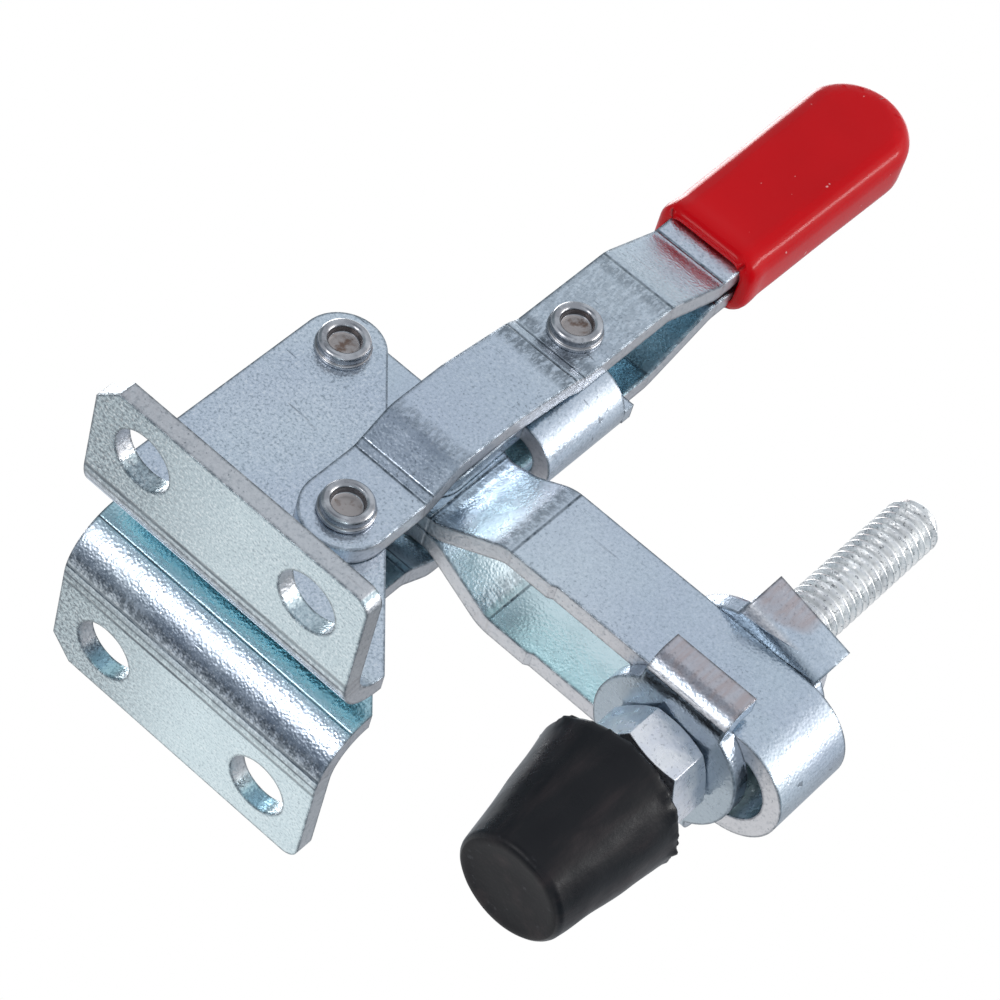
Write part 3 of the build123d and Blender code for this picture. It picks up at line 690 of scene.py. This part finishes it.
def dippedGrip():
    d = grip
    bm = bmesh.new()
    centre = d["top"] - d["domeRadius"]
    bmesh.ops.create_circle(bm, cap_ends=True, segments=96, radius=d["domeRadius"] * mm)
    bmesh.ops.rotate(bm, verts=bm.verts, cent=(0, 0, 0), matrix=Matrix.Rotation(pi / 2, 3, "X"))
    bmesh.ops.bisect_plane(
        bm, geom=bm.verts[:] + bm.edges[:] + bm.faces[:], plane_co=(0, 0, 0), plane_no=(0, 0, -1),
        clear_outer=True,
    )
    flat = [e for e in bm.edges if all(abs(v.co.z) < 0.01 * mm for v in e.verts)]
    skirt = bmesh.ops.extrude_edge_only(bm, edges=flat)
    low = [v for v in skirt["geom"] if isinstance(v, bmesh.types.BMVert)]
    # the skirt is made longer, and cut off at the mouth
    bmesh.ops.translate(bm, verts=low, vec=(0, 0, (d["bottom"] - d["spare"] - centre) * mm))
    bmesh.ops.scale(bm, verts=low, vec=(d["halfWidth"] / d["domeRadius"], 1, 1))
    bmesh.ops.dissolve_faces(bm, faces=bm.faces[:])
    bmesh.ops.translate(bm, verts=bm.verts, vec=(d["x"] * mm, -d["halfThickness"] * mm, centre * mm))
    solid = bmesh.ops.extrude_face_region(bm, geom=bm.faces[:])
    far = [v for v in solid["geom"] if isinstance(v, bmesh.types.BMVert)]
    bmesh.ops.translate(bm, verts=far, vec=(0, 2 * d["halfThickness"] * mm, 0))
    bmesh.ops.recalc_face_normals(bm, faces=bm.faces)
    rims = [
        e for e in bm.edges
        if abs(e.verts[0].co.y - e.verts[1].co.y) < 0.01 * mm
        and max(v.co.z for v in e.verts) > d["bottom"] * mm
    ]
    bmesh.ops.bevel(
        bm, geom=rims, offset=d["rim"] * mm, offset_type="OFFSET", affect="EDGES", segments=8, profile=0.5,
        material=-1,
    )
    # the bevel ends in a flat fan at the foot of the skirt, so it is set round there too
    for vert in bm.verts:
        if vert.co.z < d["bottom"] * mm:
            a = min(1.0, (d["halfThickness"] - abs(vert.co.y / mm)) / d["rim"]) * pi / 2
            sides = (1 if vert.co.x > d["x"] * mm else -1, 1 if vert.co.y > 0 else -1)
            vert.co.x = (d["x"] + sides[0] * (d["halfWidth"] - d["rim"] * (1 - sin(a)))) * mm
            vert.co.y = sides[1] * (d["halfThickness"] - d["rim"] * (1 - cos(a))) * mm
    bmesh.ops.bisect_plane(
        bm, geom=bm.verts[:] + bm.edges[:] + bm.faces[:], plane_co=(0, 0, d["bottom"] * mm),
        plane_no=(0, 0, -1), clear_outer=True,
    )
    cutAcross(bm, [d["bottom"] + h for h in d["lipCuts"]], (0, 0, 1))
    up, along = (0, 0, 1), (1, 0, 0)
    rows = (("bottom", "closeCuts", up), ("bottom", "wideCuts", up), ("x", "sideCuts", along))
    for start, cuts, axis in rows:
        first, gap, count = d[cuts]
        cutAcross(bm, [d[start] + first + gap * i for i in range(count)], axis)
    bm.normal_update()
    for vert in bm.verts:
        x, y, z = (c / mm for c in vert.co)
        out = Vector((vert.normal.x, vert.normal.y, 0))
        lip = exp(-((z - d["bottom"] - d["lipMiddle"]) / d["lipHeight"]) ** 2)
        broad = max(0.0, 1 - (abs(x - d["x"]) / d["halfWidth"]) ** 2)
        broad = broad * min(1, (z - d["bottom"]) / d["sinkRise"])
        wave = noise.noise(Vector((x, y, z)) * d["waveScale"]) * d["wave"]
        wave = wave * min(1, (z - d["bottom"]) / d["waveRise"])
        sink = d["sink"] * broad * (1 if abs(vert.normal.y) > 0.9 else 0)
        below = min(1.0, max(0.0, 1 - (z - d["bottom"]) / d["lipRound"]))
        tuck = d["lipRound"] * (1 - (1 - below * below) ** 0.5)
        vert.co += out * (d["lipBulge"] * lip + wave - sink - tuck) * mm

    # the mouth turns in over the wall and up inside
    mouth = [e for e in bm.edges if e.is_boundary]
    for inset, height in d["mouth"]:
        turned = bmesh.ops.extrude_edge_only(bm, edges=mouth)["geom"]
        ring = [v for v in turned if isinstance(v, bmesh.types.BMVert)]
        mouth = [e for e in turned if isinstance(e, bmesh.types.BMEdge) and e.is_boundary]
        wide = max(abs(v.co.x / mm - d["x"]) for v in ring)
        thick = max(abs(v.co.y / mm) for v in ring)
        shares = ((d["halfWidth"] - inset) / wide, (d["halfThickness"] - inset) / thick)
        for vert in ring:
            x = d["x"] + (vert.co.x / mm - d["x"]) * shares[0]
            vert.co = Vector((x, vert.co.y / mm * shares[1], d["bottom"] + height)) * mm
    bmesh.ops.holes_fill(bm, edges=mouth, sides=0)
    return finishedPiece(bm, "dippedGrip", "handle", "red_vinyl", dippedVinyl(), "grip")


dippedGrip()
print("grip done")

# rubber tip: a moulded cone that leans a little on the bolt, torn round its top

rubber = dict(
    x=36.9, bottom=0.4, top=15.4, lowRadius=5.9, highRadius=7.95, roundLow=0.8, roundHigh=0.8, mouth=2.9,
    lean=-0.5, steps=160, rings=26, collar=0.50, collarOut=6.9, collarIn=5.0, torn=0.30,
    tornLow=0.12, tornHigh=0.05, rags=((5.5, 0.25, 1.0), (14, 0.5, 0.7)), swell=0.10, swellScale=0.30,
)


def rubberTip():
    d = rubber
    bm = bmesh.new()
    outline = [(0.01, 0.12), (2.0, 0.12), (4.4, 0.10), (4.75, 0.0), (d["lowRadius"] - d["roundLow"], 0.0)]
    for i in range(1, 7):
        a = pi / 2 * i / 6
        outline.append((d["lowRadius"] - d["roundLow"] * (1 - sin(a)), d["roundLow"] * (1 - cos(a))))
    height = d["top"] - d["bottom"]
    for i in range(1, d["rings"]):
        share = i / d["rings"]
        radius = d["lowRadius"] + (d["highRadius"] - d["lowRadius"]) * share
        outline.append((radius, d["roundLow"] + (height - d["roundLow"] - d["roundHigh"]) * share))
    for i in range(0, 7):
        a = pi / 2 * i / 6
        inset, drop = d["roundHigh"] * (1 - cos(a)), d["roundHigh"] * (1 - sin(a))
        outline.append((d["highRadius"] - inset, height - drop))
    for i in range(1, 13):
        outline.append((d["highRadius"] - d["roundHigh"] - 0.34 * i, height))
    outline += [(d["mouth"], height), (d["mouth"], height - 4.0), (0.01, height - 4.0)]
    points = [bm.verts.new((r * mm, 0, z * mm)) for r, z in outline]
    profile = [bm.edges.new(pair) for pair in zip(points, points[1:])]
    bmesh.ops.spin(
        bm, geom=points + profile, axis=(0, 0, 1), cent=(0, 0, 0), angle=2 * pi, steps=d["steps"],
        use_merge=True,
    )
    bmesh.ops.remove_doubles(bm, verts=bm.verts, dist=0.03 * mm)
    for vert in bm.verts:
        x, y, z = (c / mm for c in vert.co)
        radius = (x * x + y * y) ** 0.5
        # a ragged collar, left where the mould was trimmed
        angle = atan2(y, x)
        rag = 0.0
        for scale, across, share in d["rags"]:
            rag += share * noise.noise(Vector((cos(angle), sin(angle), radius * across)) * scale)
        if z > height - 0.1 and d["collarIn"] < radius < d["collarOut"]:
            z += d["collar"] + min(d["tornHigh"], d["torn"] * rag - d["tornLow"])
        rim = max(0.0, 1 - abs(z - height + 0.5)) * max(0.0, rag - 0.15) * 0.5 if radius > 7 else 0.0
        swell = noise.noise(Vector((x, y, z)) * d["swellScale"]) * d["swell"]
        side = rim + swell if radius > 4 else 0.0
        grow = 1 + side / max(radius, 1)
        lean = d["lean"] * z / height
        vert.co = Vector((d["x"] + x * grow + lean, y * grow, z + d["bottom"])) * mm
    return finishedPiece(bm, "rubberTip", "spindle", "black_rubber", blackRubber(), "rubber_tip")


rubberTip()
print("rubber tip done")

# floor: seen from above it catches a soft shadow, and from below it isn't there

floorLook = dict(size=1.2, height=-0.0002, colour=(0.90, 0.90, 0.90, 1), rough=0.8)

floorMesh = bpy.data.meshes.new("floor")
bm = bmesh.new()
bmesh.ops.create_grid(bm, x_segments=1, y_segments=1, size=floorLook["size"])
bm.to_mesh(floorMesh)
bm.free()
floor = bpy.data.objects.new("floor", floorMesh)
bpy.context.scene.collection.objects.link(floor)
floor.location.z = floorLook["height"]
pale = bpy.data.materials.new("paleFloor")
pale.use_nodes = True
floorTree = pale.node_tree
surface = floorTree.nodes["Principled BSDF"]
surface.inputs["Base Color"].default_value = floorLook["colour"]
surface.inputs["Roughness"].default_value = floorLook["rough"]
clear = floorTree.nodes.new("ShaderNodeBsdfTransparent")
facing = floorTree.nodes.new("ShaderNodeNewGeometry")
either = floorTree.nodes.new("ShaderNodeMixShader")
floorTree.links.new(facing.outputs["Backfacing"], either.inputs[0])
floorTree.links.new(surface.outputs[0], either.inputs[1])
floorTree.links.new(clear.outputs[0], either.inputs[2])
floorTree.links.new(either.outputs[0], floorTree.nodes["Material Output"].inputs["Surface"])
floorMesh.materials.append(pale)
floor.visible_glossy = False
floor.visible_diffuse = False
floor.visible_shadow = False
print("floor done")
